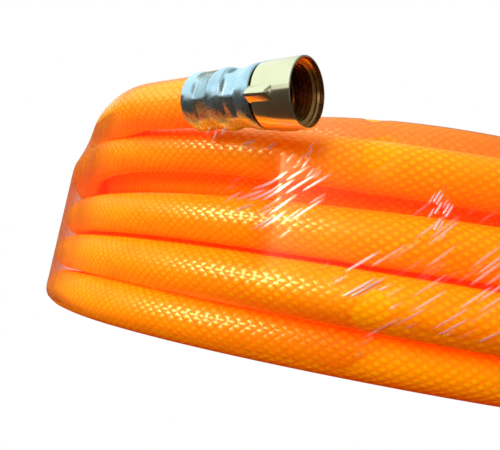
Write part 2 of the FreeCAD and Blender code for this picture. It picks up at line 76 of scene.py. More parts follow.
def coil_point(azimuth, radius, height):
    """A point round the coil, its radius and height given in hose diameters."""
    return coil_axis + heading(azimuth) * (radius * HOSE) + Vector((0, 0, height * HOSE))


def length_along(points):
    """The length of a line of points, from the first one to each."""
    return np.concatenate([[0], np.cumsum(np.linalg.norm(np.diff(points, axis=0), axis=1))])


def evenly_spaced(points, count):
    """So many points at even steps along a line, and the line's length."""
    run = length_along(points)
    marks = np.linspace(0, run[-1], count)
    return np.stack([np.interp(marks, run, values) for values in points.T], 1), run[-1]


# %% [markdown]
# ## The camera
# The photograph was taken close to the coil with a wide lens, from just above the ground and looking up.
# Its place, its turn and its lens were worked out from the curves of the rows. The camera comes first, so
# that every later step can be compared with the photograph.

# %% Set the camera
CAMERA_DISTANCE = 302.7 * MM
CAMERA_HEIGHT = 17.9 * MM
CAMERA_YAW, CAMERA_PITCH, CAMERA_ROLL = -0.283, 0.298, 0.163
FOCAL_PIXELS = 420.93
FRAME_WIDTH, FRAME_HEIGHT = 500, 450
CENTRE_X, CENTRE_Y = 242.27, 163.47

forward = Vector((math.sin(CAMERA_YAW) * math.cos(CAMERA_PITCH),
                  math.cos(CAMERA_YAW) * math.cos(CAMERA_PITCH),
                  math.sin(CAMERA_PITCH)))
level = forward.cross(Vector((0, 0, 1))).normalized()
upward = level.cross(forward)
right = level * math.cos(CAMERA_ROLL) + upward * math.sin(CAMERA_ROLL)
top = upward * math.cos(CAMERA_ROLL) - level * math.sin(CAMERA_ROLL)

lens = bpy.data.cameras.new("camera")
lens.sensor_width = 36
lens.lens = FOCAL_PIXELS / FRAME_WIDTH * lens.sensor_width
lens.shift_x = (FRAME_WIDTH / 2 - CENTRE_X) / FRAME_WIDTH
lens.shift_y = (CENTRE_Y - FRAME_HEIGHT / 2) / FRAME_WIDTH
lens.clip_start = 0.005
camera = bpy.data.objects.new("camera", lens)
bpy.context.scene.collection.objects.link(camera)
turned = Matrix((right, top, -forward)).transposed().to_4x4()
camera.matrix_world = Matrix.Translation(coil_axis + Vector((0, -CAMERA_DISTANCE, CAMERA_HEIGHT))) @ turned
bpy.context.scene.camera = camera

# %% [markdown]
# ## Finishes
# A finish is a small node tree round one Principled shader. These helpers keep the trees short, and the
# world's light is built with them too. The metals differ in their colours and their sheen.

# %% Helpers for finishes


class Nodes:
    """Shortcuts to build the nodes of a tree. An input is a value, or the output that it takes."""

    def __init__(self, tree):
        self.tree = tree

    def node(self, kind, inputs=(), **settings):
        made = self.tree.nodes.new(kind)
        for setting, value in settings.items():
            setattr(made, setting, value)
        for socket, value in dict(inputs).items():
            if isinstance(value, bpy.types.NodeSocket):
                self.tree.links.new(value, made.inputs[socket])
            else:
                made.inputs[socket].default_value = value
        return made

    def math(self, operation, first, second=0.0, third=0.0):
        return self.node("ShaderNodeMath", {0: first, 1: second, 2: third}, operation=operation).outputs[0]

    def noise(self, vector, scale, detail):
        inputs = {"Vector": vector, "Scale": scale, "Detail": detail}
        return self.node("ShaderNodeTexNoise", inputs).outputs["Fac"]

    def range(self, factor, low, high, new_low, new_high, smooth=False):
        inputs = {"Value": factor, "From Min": low, "From Max": high, "To Min": new_low, "To Max": new_high}
        made = self.node("ShaderNodeMapRange", inputs)
        made.interpolation_type = "SMOOTHSTEP" if smooth else "LINEAR"
        return made.outputs["Result"]

    def mix(self, factor, first, second, **settings):
        """Mixes two colours, each one a value or an output."""
        ends = [end if isinstance(end, bpy.types.NodeSocket) else (*end, 1) for end in (first, second)]
        made = self.node("ShaderNodeMix", {0: factor, 6: ends[0], 7: ends[1]}, data_type="RGBA", **settings)
        return made.outputs[2]

    def blend(self, factor, first, second):
        """Mixes two shaders."""
        return self.node("ShaderNodeMixShader", {0: factor, 1: first.outputs[0], 2: second.outputs[0]})

    def bump(self, height, distance, strength):
        inputs = {"Height": height, "Distance": distance, "Strength": strength}
        return self.node("ShaderNodeBump", inputs).outputs["Normal"]


class Finish(Nodes):
    """A material round one Principled shader. Its place is a point's own coordinates, in metres."""

    def __init__(self, name, **sockets):
        self.material = bpy.data.materials.new(name)
        self.material.use_nodes = True
        super().__init__(self.material.node_tree)
        self.shader = self.tree.nodes["Principled BSDF"]
        self.output = self.tree.nodes["Material Output"]
        self.place = self.node("ShaderNodeTexCoord").outputs["Object"]
        for socket, value in sockets.items():
            self.shader.inputs[socket.replace("_", " ")].default_value = value

    def link(self, value, socket):
        self.tree.links.new(value, self.shader.inputs[socket])

    def show(self, shader):
        """Makes a shader node the one that the surface shows."""
        self.tree.links.new(shader.outputs[0], self.output.inputs["Surface"])


def clouded_metal(name, dark, pale, cloud, sheen, roughness):
    """A metal with two colours and a span of roughness, spread by noises of the given scale and detail."""
    finish = Finish(name, Metallic=1.0, Roughness=sum(roughness) / 2)
    cloudy = finish.range(finish.noise(finish.place, *cloud), 0.3, 0.7, 0.0, 1.0)
    finish.link(finish.mix(cloudy, dark, pale), "Base Color")
    finish.link(finish.range(finish.noise(finish.place, *sheen), 0.3, 0.7, *roughness), "Roughness")
    return finish


def finish_object(piece, finish, body):
    """Gives a piece its finish, smooth shading and body."""
    piece.data.materials.clear()
    piece.data.materials.append(finish.material)
    for polygon in piece.data.polygons:
        polygon.use_smooth = True
    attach(piece, body)


def new_piece(name, form):
    """An object at the origin from a bmesh, which is then freed."""
    mesh = bpy.data.meshes.new(name)
    form.to_mesh(mesh)
    form.free()
    piece = bpy.data.objects.new(name, mesh)
    bpy.context.scene.collection.objects.link(piece)
    return piece


# %% [markdown]
# ## Where the fittings lie
# Each nut turns on its own joint, and the joint's axis is the axis of the fitting. Every fitting piece is
# made once along X, with its sleeve's mouth at the origin, and then set on that axis.

# %% Find the two fittings
THREAD_MIDDLE = 40.575 * MM


def fitting_place(joint_name):
    """The matrix that sets a piece made along X on the axis of a joint."""
    joint = next(joint for joint in frame["joints"] if joint["name"] == joint_name)
    axis = Vector(joint["axis"]).normalized()
    start = Vector(joint["pos_m"]) - axis * THREAD_MIDDLE
    across = Vector((0, 0, 1)).cross(axis).normalized()
    facing = Matrix((axis, across, axis.cross(across))).transposed().to_4x4()
    return Matrix.Translation(start) @ facing


outer_place = fitting_place("outer_nut_turn")
inner_place = fitting_place("inner_nut_turn")
print("outer sleeve starts at", [round(value, 4) for value in outer_place.translation])

# %% [markdown]
# ## The route of the hose
# The hose is one length, so its route is one spline. From the outer fitting it joins the top row, drops to
# the ground row by row, climbs again in a second layer inside the first, and comes down in a third. In
# front the rows lie as in the photograph: the top ones slope down to the right, and the lowest is tucked
# under its neighbour. Each row changes to the next at the back.

# %% Lay out the rows
STEP = 15
LEAVES_AT, ARRIVES_AT = -152, -5240

# The spline cuts the corners between its points, so on a circle it runs inside them by this share
SPLINE_DRAW_IN = 0.9915

# The free ends of the hose, in hose diameters from the coil's axis, and its last points in mm along a fitting
OUTER_END = [(-8.79, -6.15, 4.9), (-7.42, -8.3, 4.91), (-6.16, -9.88, 4.85), (-4.87, -11.12, 4.71)]
INNER_END = [(-3.3, 8.35, 0.75), (-1.2, 8.45, 0.75), (0.7, 7.85, 0.75), (2.3, 6.55, 0.75)]
STATIONS_IN_FITTING = (-12, -2, 8)

# Stops along the rows of each layer: azimuth in degrees, height and radius in hose diameters
OUTER_ROWS = [
    [(-152, 4.92, 10.73), (-170, 4.92, 10.65), (-200, 4.85, 10.8)],
    [(-420, 3.6, 11.0), (-441, 3.66, 11.1), (-452, 3.72, 11.25), (-465, 3.96, 11.3), (-480, 4.11, 11.3),
     (-500, 4.13, 11.15), (-540, 4.0, 11.0)],
    [(-780, 2.4, 11.0), (-802, 2.43, 11.0), (-812, 2.44, 11.0), (-840, 2.6, 11.0), (-865, 2.72, 11.0),
     (-900, 2.75, 11.0)],
    [(-1140, 1.28, 11.1), (-1165, 1.32, 11.15), (-1200, 1.5, 11.0), (-1225, 1.6, 11.0), (-1260, 1.6, 11.0)],
    [(-1500, 0.5, 10.3), (-1530, 0.5, 10.45), (-1560, 0.5, 10.95), (-1590, 0.5, 11.0), (-1610, 0.5, 11.0)],
]
SECOND_LAYER = [
    [(-1730, 0.5, 10.0), (-1890, 0.5, 10.0)], [(-1970, 1.5, 10.0), (-2250, 1.5, 10.0)],
    [(-2330, 2.5, 10.0), (-2610, 2.5, 10.0)], [(-2690, 3.5, 10.0), (-2970, 3.5, 10.0)],
    [(-3050, 4.5, 10.0), (-3300, 4.5, 10.0), (-3332, 4.7, 10.0), (-3360, 4.8, 9.7), (-3390, 4.7, 9.1)],
]
THIRD_LAYER = [
    [(-3410, 4.5, 9.0), (-3645, 4.5, 9.0)], [(-3720, 3.5, 9.0), (-4005, 3.5, 9.0)],
    [(-4080, 2.5, 9.0), (-4365, 2.5, 9.0)], [(-4440, 1.5, 9.0), (-4725, 1.5, 9.0)],
    [(-4800, 0.5, 9.0), (-5170, 0.5, 9.0)],
]
stops = np.array([stop for row in OUTER_ROWS + SECOND_LAYER + THIRD_LAYER for stop in row])


def fitting_points(place):
    """Points on a fitting's axis, from before its mouth to inside it."""
    return [place @ Vector((station * MM, 0, 0)) for station in STATIONS_IN_FITTING]


route = fitting_points(outer_place)[::-1]
route += [coil_axis + Vector(point) * HOSE for point in reversed(OUTER_END)]
for azimuth in range(LEAVES_AT, ARRIVES_AT, -STEP):
    height = float(np.interp(-azimuth, -stops[:, 0], stops[:, 1]))
    radius = float(np.interp(-azimuth, -stops[:, 0], stops[:, 2]))
    route.append(coil_point(azimuth, radius / SPLINE_DRAW_IN, height))
route += [coil_axis + Vector(point) * HOSE for point in INNER_END]
route += fitting_points(inner_place)
print(len(route), "points in the route")

# %% [markdown]
# ## The hose
# The spline gets a round section. As a mesh it also keeps two measures at every point, the length along
# the hose and the turn round it, in its UV map. The braid is drawn from them, so its threads run true
# round every bend.

# %% Sweep the hose along its route
RING_RESOLUTION = 10
SPLINE_RESOLUTION = 6

curve = bpy.data.curves.new("hose_route", "CURVE")
curve.dimensions = "3D"
spline = curve.splines.new("NURBS")
spline.points.add(len(route) - 1)
for control, point in zip(spline.points, route):
    control.co = (*point, 1)
spline.order_u = 3
spline.use_endpoint_u = True
spline.resolution_u = SPLINE_RESOLUTION
route_object = bpy.data.objects.new("hose_route", curve)
bpy.context.scene.collection.objects.link(route_object)


def evaluated_mesh(thing):
    """A curve's mesh as it stands now."""
    bpy.context.view_layer.update()
    return bpy.data.meshes.new_from_object(thing.evaluated_get(bpy.context.evaluated_depsgraph_get()))


centre_mesh = evaluated_mesh(route_object)
centreline = np.array([vertex.co for vertex in centre_mesh.vertices])
along = length_along(centreline)
curve.bevel_depth = HOSE_RADIUS
curve.bevel_resolution = RING_RESOLUTION
curve.use_fill_caps = True
hose_mesh = evaluated_mesh(route_object)
hose_mesh.name = "hose"

# The sweep's UV map counts the curve's points along the hose, and each count turns into metres
measures = np.empty(len(hose_mesh.loops) * 2, dtype=np.float32)
hose_mesh.uv_layers[0].data.foreach_get("uv", measures)
measures[::2] = np.interp(measures[::2] * (len(along) - 1), np.arange(len(along)), along)
hose_mesh.uv_layers[0].data.foreach_set("uv", measures)
hose = bpy.data.objects.new("hose", hose_mesh)
bpy.context.scene.collection.objects.link(hose)
bpy.data.objects.remove(route_object)
bpy.data.meshes.remove(centre_mesh)
print("hose is %.2f m long, %d faces" % (along[-1], len(hose_mesh.polygons)))

# %% [markdown]
# The cover is clear orange PVC over a braid of fine threads. Two families of threads cross on the
# slant, and each diamond between them shows as a lighter dot. The crossing waves of two sines give that
# lattice without a seam, because a whole number of diamonds goes round. Soft clouds and long streaks
# vary the colour, as in real PVC, and a little glow stands for the light that goes through it.

# %% The finish of the hose
BRAID_PITCH = 3.4 * MM
BRAID_RELIEF = 0.2 * MM
DIAMONDS_ROUND = 18
THREAD_COLOUR, DOT_COLOUR = (1.0, 0.40, 0.0), (1.0, 0.62, 0.0)
CLOUD_COLOUR, STREAK_COLOUR = (1.0, 0.52, 0.0), (1.0, 0.33, 0.0)
STREAK_SCALE = (60.0, 4.0, 1.0)


def hose_finish():
    finish = Finish("braided_orange_pvc", Roughness=0.31, IOR=1.5, Specular_IOR_Level=0.25,
                    Specular_Tint=(1.0, 0.75, 0.3, 1), Subsurface_Weight=0.15, Subsurface_Scale=0.004,
                    Subsurface_Radius=(1.0, 0.35, 0.05), Emission_Strength=0.36,
                    Emission_Color=(1.0, 0.025, 0.0, 1))
    measures = finish.node("ShaderNodeUVMap", uv_map="UVMap").outputs[0]
    parts = finish.node("ShaderNodeSeparateXYZ", {0: measures})
    length = finish.math("DIVIDE", parts.outputs[0], BRAID_PITCH)
    turn = finish.math("MULTIPLY", parts.outputs[1], DIAMONDS_ROUND)
    waves = []
    for operation in ("ADD", "SUBTRACT"):
        phase = finish.math("MULTIPLY", finish.math(operation, length, turn), math.pi)
        waves.append(finish.math("ABSOLUTE", finish.math("SINE", phase)))
    diamond = finish.math("MULTIPLY", waves[0], waves[1])
    cloud = finish.noise(finish.place, 60.0, 3.0)
    stretched = finish.node("ShaderNodeMapping", {"Vector": measures, "Scale": STREAK_SCALE}).outputs[0]
    streak = finish.noise(stretched, 1.0, 4.0)
    dotted = finish.mix(finish.range(diamond, 0.25, 0.85, 0.0, 1.0, smooth=True), THREAD_COLOUR, DOT_COLOUR)
    clouded = finish.mix(finish.range(cloud, 0.35, 0.65, 0.0, 0.5), dotted, CLOUD_COLOUR)
    streaked = finish.mix(finish.range(streak, 0.35, 0.7, 0.0, 0.35), clouded, STREAK_COLOUR)
    finish.link(streaked, "Base Color")
    finish.link(finish.bump(diamond, BRAID_RELIEF, 0.7), "Normal")
    return finish


finish_object(hose, hose_finish(), "coil")
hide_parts("outer_layer", "inner_layers", "outer_end", "inner_end")

# %% [markdown]
# ## The swivel nut
# A thin-walled turned nut: a plain mouth, a thread inside, and three lugs that a spanner or a hand can
# grip. Its section is spun round the axis. The thread is a ridge that is spun as well, with a step along
# the axis at each turn, which makes it a true screw.

# %% Make the nut
# Stations along the fitting and radii in mm, turns in degrees
OUTER_NUT_TURN, INNER_NUT_TURN = 114, 0
NUT_BACK, NUT_FRONT = 34.4, 46.2
NUT_RADIUS, MOUTH_RADIUS = 9.6, 9.15
BACK_EDGE = [(0, 0.35), (0.1, 0.1), (0.35, 0)]
FRONT_EDGE = [(0.4, 0), (0.1, 0.08), (0, 0.25)]
COLLAR_BACK, COLLAR_RADIUS = 30.0, 8.5
NECK_RADIUS, CHAMBER_BACK, CHAMBER_RADIUS = 5.58, 32.0, 8.1
THREAD_START, THREAD_END = 36.75, 44.4
THREAD_CREST, THREAD_ROOT, THREAD_PITCH = 7.6, 8.6, 1.337
RIDGE_START, RIDGE_TURNS, RIDGE_STEPS = 37.35, 4.9, 314
RIDGE_SECTION = [(-0.56, 8.65), (-0.1, THREAD_CREST), (0.1, THREAD_CREST), (0.56, 8.65)]
LUG_BACK, LUG_LENGTH, LUG_SLOPE = 33.5, 7.8, 1.3
LUG_HEIGHT, LUG_SINK, LUG_EDGE = 1.8, 0.6, 0.45
LUG_FOOT, LUG_CROWN, LUG_COUNT = 4.6, 0.9, 3
NUT_STEPS, NUT_CREASE = 96, 32


def spun(form, outline, steps, closed=True):
    """Spins an outline of (station, radius) in mm round the X axis."""
    corners = [form.verts.new((station * MM, 0, radius * MM)) for station, radius in outline]
    pairs = list(zip(corners, corners[1:] + corners[:1])) if closed else list(zip(corners, corners[1:]))
    edges = [form.edges.new(pair) for pair in pairs]
    bmesh.ops.spin(form, geom=corners + edges, cent=(0, 0, 0), axis=(1, 0, 0), angle=math.tau, steps=steps,
                   use_merge=True)


def add_ridge(form):
    """Adds the thread: a section that is spun and moved on by one pitch at each turn."""
    ridge = bmesh.new()
    section = [((RIDGE_START + station) * MM, 0, radius * MM) for station, radius in RIDGE_SECTION]
    corners = [ridge.verts.new(corner) for corner in section]
    face = ridge.faces.new(corners)
    advance = RIDGE_TURNS * THREAD_PITCH * MM / RIDGE_STEPS
    bmesh.ops.spin(ridge, geom=[face] + list(face.edges) + corners, cent=(0, 0, 0), axis=(1, 0, 0),
                   dvec=(advance, 0, 0), angle=RIDGE_TURNS * math.tau, steps=RIDGE_STEPS)
    bmesh.ops.holes_fill(ridge, edges=[edge for edge in ridge.edges if edge.is_boundary], sides=8)
    bmesh.ops.recalc_face_normals(ridge, faces=ridge.faces)
    ridge_mesh = bpy.data.meshes.new("ridge")
    ridge.to_mesh(ridge_mesh)
    ridge.free()
    form.from_mesh(ridge_mesh)
    bpy.data.meshes.remove(ridge_mesh)


def add_lug(form, turn):
    """Adds one lug: a block that narrows to its crown and slopes in front, with its upper edges rounded."""
    verts = bmesh.ops.create_cube(form, size=1.0)["verts"]
    for vert in verts:
        high = vert.co.z > 0
        length = LUG_LENGTH - LUG_SLOPE if high else LUG_LENGTH
        vert.co.x = (LUG_BACK + (length if vert.co.x > 0 else 0.0)) * MM
        vert.co.y *= (LUG_CROWN if high else LUG_FOOT) * MM
        vert.co.z = (NUT_RADIUS + (LUG_HEIGHT if high else -LUG_SINK)) * MM
    edges = {edge for vert in verts for edge in vert.link_edges}
    upper = [edge for edge in edges if max(end.co.z for end in edge.verts) > NUT_RADIUS * MM]
    rounded = bmesh.ops.bevel(form, geom=upper, offset=LUG_EDGE * MM, segments=3, profile=0.5, affect="EDGES",
                              material=-1)
    lug_verts = {vert for face in rounded["faces"] for vert in face.verts}
    lug_verts |= {vert for vert in verts if vert.is_valid}
    bmesh.ops.rotate(form, cent=(0, 0, 0), verts=list(lug_verts), matrix=Matrix.Rotation(turn, 3, "X"))


def nut_form():
    form = bmesh.new()
    outside = [(COLLAR_BACK, COLLAR_RADIUS), (NUT_BACK, COLLAR_RADIUS)]
    outside += [(NUT_BACK + inset, NUT_RADIUS - drop) for inset, drop in BACK_EDGE]
    outside += [(NUT_FRONT - inset, NUT_RADIUS - drop) for inset, drop in FRONT_EDGE]
    inside = [(NUT_FRONT, MOUTH_RADIUS), (THREAD_END + 0.5, MOUTH_RADIUS - 0.15), (THREAD_END, THREAD_ROOT),
              (THREAD_START, THREAD_ROOT), (THREAD_START, CHAMBER_RADIUS), (CHAMBER_BACK, CHAMBER_RADIUS),
              (CHAMBER_BACK, NECK_RADIUS)]
    spun(form, [(COLLAR_BACK, NECK_RADIUS)] + outside + inside, NUT_STEPS)
    bmesh.ops.recalc_face_normals(form, faces=form.faces)
    add_ridge(form)
    for lug in range(LUG_COUNT):
        add_lug(form, math.tau * lug / LUG_COUNT)
    return form


def is_bore(polygon, mesh):
    """Whether all corners of a face lie inside the nut's mouth."""
    corners = [mesh.vertices[index].co for index in polygon.vertices]
    return all(math.hypot(corner.y, corner.z) < (MOUTH_RADIUS + 0.05) * MM for corner in corners)


gold = clouded_metal("pale_gold_plating", (0.80, 0.77, 0.48), (0.84, 0.82, 0.56),
                     cloud=(150.0, 3.0), sheen=(400.0, 2.0), roughness=(0.13, 0.22))
# Faces inside the nut's mouth get a darker orange-brown metal: painted shade in the bore
shaded_bore = clouded_metal("brass_bore_painted_shade", (0.55, 0.31, 0.10), (0.80, 0.47, 0.16),
                     cloud=(300.0, 3.0), sheen=(300.0, 3.0), roughness=(0.2, 0.36))
for end_name, place, turn, body in (("outer", outer_place, OUTER_NUT_TURN, "outer_swivel"),
                                    ("inner", inner_place, INNER_NUT_TURN, "inner_swivel")):
    nut = new_piece(end_name + "_swivel_nut", nut_form())
    inner_faces = [polygon.index for polygon in nut.data.polygons if is_bore(polygon, nut.data)]
    nut.data.transform(place @ Matrix.Rotation(math.radians(turn), 4, "X"))
    finish_object(nut, gold, body)
    # The faces inside the mouth take the darker finish, which is painted shade
    nut.data.materials.append(shaded_bore.material)
    for index in inner_faces:
        nut.data.polygons[index].material_index = 1
    nut.data.set_sharp_from_angle(angle=math.radians(NUT_CREASE))
    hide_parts(end_name + "_nut")

# %% [markdown]
# ## The crimped sleeve
# A sheet steel sleeve, pressed onto the hose in two bands by a ring of jaws. Each jaw leaves a flat, and
# the metal between the bands stands out in bulges. The section is spun with many stations, and then every
# point under a jaw is moved down to the jaw's face.

# %% Make the sleeve
# Stations along the fitting and radii in mm
SLEEVE_SECTION = [(8.0, 8.3), (8.0, 8.5), (8.2, 8.8), (8.8, 9.1), (9.8, 9.25), (10.8, 9.25),
                  (11.8, 9.05), (12.6, 8.75), (13.4, 8.6), (15.2, 8.55), (17.0, 8.6), (17.9, 8.8),
                  (19.0, 9.15), (20.2, 9.35), (21.4, 9.38), (22.4, 9.2), (23.2, 8.85), (24.0, 8.6),
                  (26.0, 8.55), (27.8, 8.6), (28.8, 8.8), (30.0, 9.1), (31.4, 9.38), (32.5, 9.42),
                  (33.0, 9.36), (33.3, 9.15), (33.3, 8.95), (29.6, 8.65), (29.6, 5.6)]
MOUTH_POINTS, OUTSIDE_POINTS = 3, 23
JAW_MIDDLES, JAWS_END = (15.2, 26.0), 28
JAW_COUNT, JAW_RADIUS = 8, 8.12
JAW_HALF_WIDTH, JAW_HALF_SPAN = 2.2, 3.0
JAW_RUN_OUT, JAW_SLOPE = 0.8, 1.2
OUTSIDE_STATIONS = 58
SLEEVE_STEPS, SLEEVE_CREASE = 144, 40


def press(vert):
    """Moves a point of the sleeve down to the face of the jaw over it, if there is one."""
    station = vert.co.x / MM
    radius = math.hypot(vert.co.y, vert.co.z) / MM
    if station > JAWS_END or radius < JAW_RADIUS:
        return
    sector = math.tau / JAW_COUNT
    off = (math.atan2(vert.co.y, vert.co.z) + sector / 2) % sector - sector / 2
    for middle in JAW_MIDDLES:
        beyond = max(0.0, abs(station - middle) - JAW_HALF_WIDTH)
        if beyond < JAW_RUN_OUT and abs(math.sin(off)) * radius < JAW_HALF_SPAN:
            scale = min(1.0, (JAW_RADIUS + beyond * JAW_SLOPE) / math.cos(off) / radius)
            vert.co.y *= scale
            vert.co.z *= scale


def sleeve_form():
    form = bmesh.new()
    drawn = np.array(SLEEVE_SECTION[MOUTH_POINTS:OUTSIDE_POINTS])
    outside = evenly_spaced(drawn, OUTSIDE_STATIONS)[0].tolist()
    line = SLEEVE_SECTION[:MOUTH_POINTS] + outside + SLEEVE_SECTION[OUTSIDE_POINTS:]
    spun(form, line, SLEEVE_STEPS, closed=False)
    for vert in form.verts:
        press(vert)
    bmesh.ops.recalc_face_normals(form, faces=form.faces)
    return form


zinc = clouded_metal("bright_zinc", (0.42, 0.62, 0.74), (0.60, 0.84, 0.93),
                     cloud=(160.0, 3.0), sheen=(350.0, 3.0), roughness=(0.2, 0.34))
zinc.link(zinc.bump(zinc.noise(zinc.place, 500.0, 2.0), GRAIN_DEPTH, 0.5), "Normal")
for end_name, place in (("outer", outer_place), ("inner", inner_place)):
    sleeve = new_piece(end_name + "_crimped_sleeve", sleeve_form())
    sleeve.data.transform(place)
    finish_object(sleeve, zinc, "coil")
    sleeve.data.set_sharp_from_angle(angle=math.radians(SLEEVE_CREASE))
    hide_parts(end_name + "_sleeve")

# %% [markdown]
# ## Stem and washer
# Inside the nut the stem's head and the sealing washer can be seen. Their CAD shapes are right, so they
# only get finishes: turned brass and dark rubber.

# %% Finish the stems and washers
brass = clouded_metal("turned_brass", (0.55, 0.38, 0.16), (0.70, 0.52, 0.26),
                      cloud=(400.0, 3.0), sheen=(400.0, 3.0), roughness=(0.22, 0.4))
rubber = Finish("black_rubber", Roughness=0.6)
grain = rubber.noise(rubber.place, 700.0, 3.0)
rubber.link(rubber.mix(grain, (0.008, 0.008, 0.009), (0.022, 0.021, 0.02)), "Base Color")
rubber.link(rubber.bump(grain, GRAIN_DEPTH, 0.6), "Normal")
for end_name in ("outer", "inner"):
    for piece_name, finish in (("_stem", brass), ("_washer", rubber)):
        for slot in bpy.data.objects[end_name + piece_name].material_slots:
            slot.material = finish.material

# %% [markdown]
# The hose now has its fittings. It is about 14.5 m long, from three layers of five rows.

# %% [markdown]
# ## Stretch film
# Film that is pulled tight touches a coil only where the coil stands out, and runs straight from row to
# row. Seen in one upright slice, that is the convex outline of the round sections of the hose. So the film
# is a grid with one column for each slice, and each column follows that outline.

# %% Stretch the film over the coil
FILM_COLUMNS, FILM_ROWS = 540, 112
FILM_LIFT, FILM_LOW = 0.25 * MM, 0.4 * MM
FILM_INNER_RADIUS, FILM_MIDDLE_RADIUS, WALL_RADIUS = 8.4 * HOSE, 10.2 * HOSE, 11.5 * HOSE
SLEEVE_COVERED = 27 * MM
SEAM_AZIMUTH = 90
SLICE_START, SLICE_END, SLICE_NORMALS = -38, 218, 500
SMOOTHING = np.array([1, 2, 3, 2, 1]) / 9

sections = centreline - np.array(coil_axis)
section_azimuth = np.unwrap(np.arctan2(sections[:, 1], sections[:, 0]))
section_radius = np.hypot(sections[:, 0], sections[:, 1])
section_height = sections[:, 2]
directions = np.radians(np.linspace(SLICE_START, SLICE_END, SLICE_NORMALS))
normals = np.stack([np.cos(directions), np.sin(directions)], 1)


def crossings(azimuth):
    """Radius and height of every place where the hose passes an upright slice."""
    turns = (section_azimuth - azimuth) / math.tau
    whole = np.floor(turns)
    found = []
    for index in np.flatnonzero(whole[1:] != whole[:-1]):
        share = (max(whole[index], whole[index + 1]) - turns[index]) / (turns[index + 1] - turns[index])
        found.append((section_radius[index] + share * (section_radius[index + 1] - section_radius[index]),
                      section_height[index] + share * (section_height[index + 1] - section_height[index]),
                      HOSE_RADIUS))
    return found


def sleeve_section(azimuth, reach):
    """The outer sleeve where the slice passes it, up to a station along it."""
    start = outer_place.translation - coil_axis
    axis = outer_place.to_3x3() @ Vector((1, 0, 0))
    side = Vector((-math.sin(azimuth), math.cos(azimuth), 0))
    station = -start.dot(side) / axis.dot(side)
    if not 0 < station < reach:
        return []
    point = start + axis * station
    if point.x * math.cos(azimuth) + point.y * math.sin(azimuth) < 0:
        return []
    stations, radii = np.array(SLEEVE_SECTION[:OUTSIDE_POINTS]).T * MM
    radius = float(np.interp(station, stations, radii, left=HOSE_RADIUS))
    return [(math.hypot(point.x, point.y), point.z, radius)]


def film_column(azimuth):
    """Evenly spaced points of the film in one slice, and its width there."""
    discs = [disc for disc in crossings(azimuth) if disc[0] > FILM_INNER_RADIUS]
    discs = np.array(discs + sleeve_section(azimuth, SLEEVE_COVERED))
    reach = discs[:, :2] @ normals.T + discs[:, 2:] + FILM_LIFT
    best = reach.argmax(0)
    outline = discs[best, :2] + (discs[best, 2:] + FILM_LIFT) * normals
    return evenly_spaced(outline, FILM_ROWS + 1)


azimuths = np.radians(SEAM_AZIMUTH - 360 + np.arange(FILM_COLUMNS) * 360 / FILM_COLUMNS)
slices = [film_column(azimuth) for azimuth in azimuths]
columns = np.array([column for column, width in slices])
columns = sum(weight * np.roll(columns, shift, axis=0) for weight, shift in zip(SMOOTHING, range(-2, 3)))
film_width = float(np.mean([width for column, width in slices]))
print("film is %.3f m wide over the coil" % film_width)

form = bmesh.new()
uv_layer = form.loops.layers.uv.new("UVMap")
bmesh.ops.create_grid(form, x_segments=FILM_COLUMNS, y_segments=FILM_ROWS, size=0.5, calc_uvs=True)
for face in form.faces:
    for loop in face.loops:
        share_along, share_across = loop.vert.co.x + 0.5, loop.vert.co.y + 0.5
        loop[uv_layer].uv = (share_along * math.tau * WALL_RADIUS, share_across * film_width)
for vert in form.verts:
    column = round((vert.co.x + 0.5) * FILM_COLUMNS) % FILM_COLUMNS
    row = round((vert.co.y + 0.5) * FILM_ROWS)
    radius, height = columns[column, row]
    sideways, back = math.cos(azimuths[column]) * radius, math.sin(azimuths[column]) * radius
    vert.co = coil_axis + Vector((sideways, back, max(height, FILM_LOW)))
bmesh.ops.remove_doubles(form, verts=form.verts, dist=1e-6)
bmesh.ops.recalc_face_normals(form, faces=form.faces)
film = new_piece("film", form)

# %% [markdown]
# The film is clear where it is seen face on. Where it is seen edge on, through many turns of it, it is tinted
# and milky: the grey-brown tint is partly the film's thickness and partly painted shade, and the milk's
# orange-brown is painted orange light from the hose. Its folds are short strokes in rows on the slant, each a
# bump with a painted highlight. Each has a chance to be left out, so that they lie close together only in a
# few fields.

# %% The finish of the film
# Each slant in degrees comes with the length and spacing of its folds in mm, and has its fields: the place of
# the middle in mm round and up the side wall, the half sizes, the cover and the strength.
# Each fold gives a bump and a painted highlight
FOLDS = {
    (40, 13, 1.0): [(-19, 46, 17, 12, 0.5, 1.0), (2, 28, 11, 9, 0.45, 0.9), (13, 11, 14, 7, 0.4, 0.45),
                    (28, 27, 30, 28, 0.5, 0.5)],
    (60, 5, 0.9): [(-12, 57, 12, 8, 0.4, 0.8), (21, 47, 5, 9, 0.5, 1.0), (-30, 60, 10, 5, 0.32, 0.8),
                   (-36, 34, 26, 30, 0.1, 0.25)],
}
# Edge on, the grey-brown is partly the film's thickness and partly painted shade; the milk's orange-brown is
# painted orange light from the hose
CLEAR_FILM, THICK_FILM_AND_SHADE = (1, 1, 1), (0.5, 0.42, 0.4)
MILK_AND_ORANGE_LIGHT, FILM_GLOSS = (0.85, 0.62, 0.5, 1), (1, 0.86, 0.62, 1)
MILK_SHARE, GLOSS_SHARE, FOLD_HIGHLIGHT_SHARE = 0.4, 0.5, 0.85


